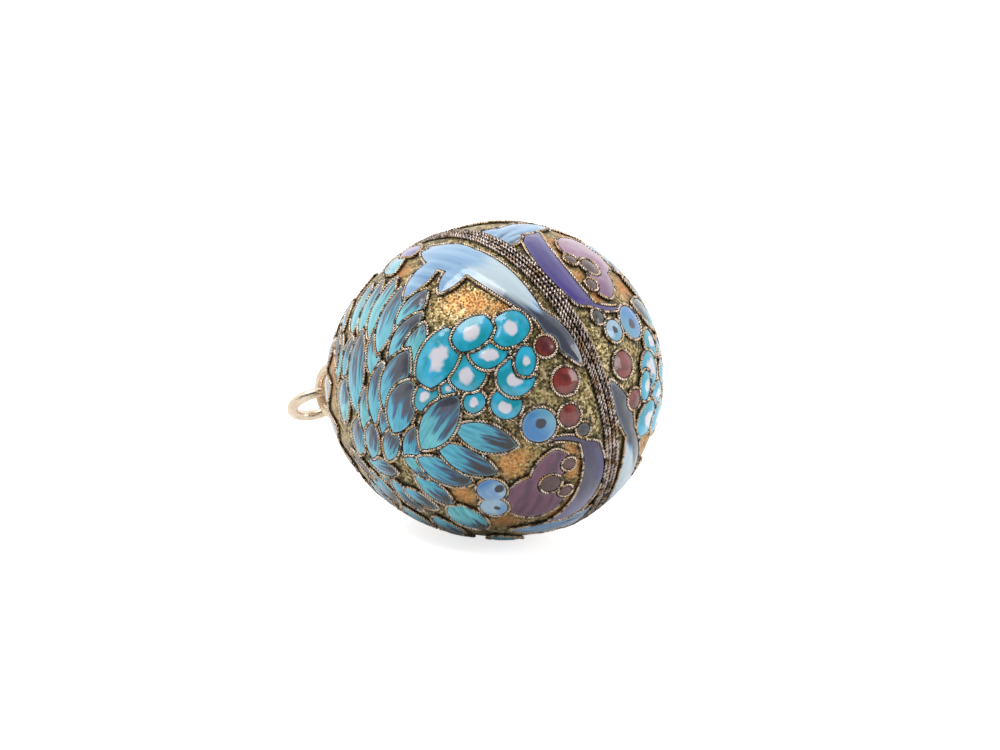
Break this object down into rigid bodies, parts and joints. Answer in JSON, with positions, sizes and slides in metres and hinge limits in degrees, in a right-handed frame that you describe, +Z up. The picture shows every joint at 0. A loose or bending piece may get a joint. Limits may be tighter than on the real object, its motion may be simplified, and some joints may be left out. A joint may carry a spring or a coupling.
{
  "type": "egg pendant",
  "caption": "Egg-shaped pendant in silver gilt with shaded cloisonné enamel leaves, lying on its side, with a fixed eye and two jump rings for a chain.",
  "frame": {"origin": "on the surface that the egg lies on, under the middle of its box", "axes": "+X along the egg from the loops to the blunt end, +Z up"},
  "size_m": [0.0296, 0.0184, 0.0185],
  "materials": {
    "gilt_ground": "stippled gilding, oxidised dark beside the wires",
    "pale_gilt": "polished, worn pale",
    "turquoise_enamel": "glossy, shaded to near-black slate",
    "light_blue_enamel": "glossy, shaded pale",
    "mauve_enamel": "glossy",
    "maroon_enamel": "glossy",
    "violet_enamel": "glossy, shaded to slate grey",
    "slate_enamel": "glossy"
  },
  "bodies": {
    "root": {"half_shell_a": "gilt_ground", "half_shell_b": "gilt_ground", "turquoise_leaves": "turquoise_enamel", "blue_leaves": "light_blue_enamel", "scale_cells": "turquoise_enamel", "berries": "maroon_enamel", "blue_petals": "light_blue_enamel", "violet_crescents": "violet_enamel", "mauve_rounds": "mauve_enamel", "dark_drops": "slate_enamel", "end_leaves": "turquoise_enamel", "eye": "pale_gilt", "jump_ring_inner": "pale_gilt", "jump_ring_outer": "pale_gilt"}
  },
  "joints": []
}
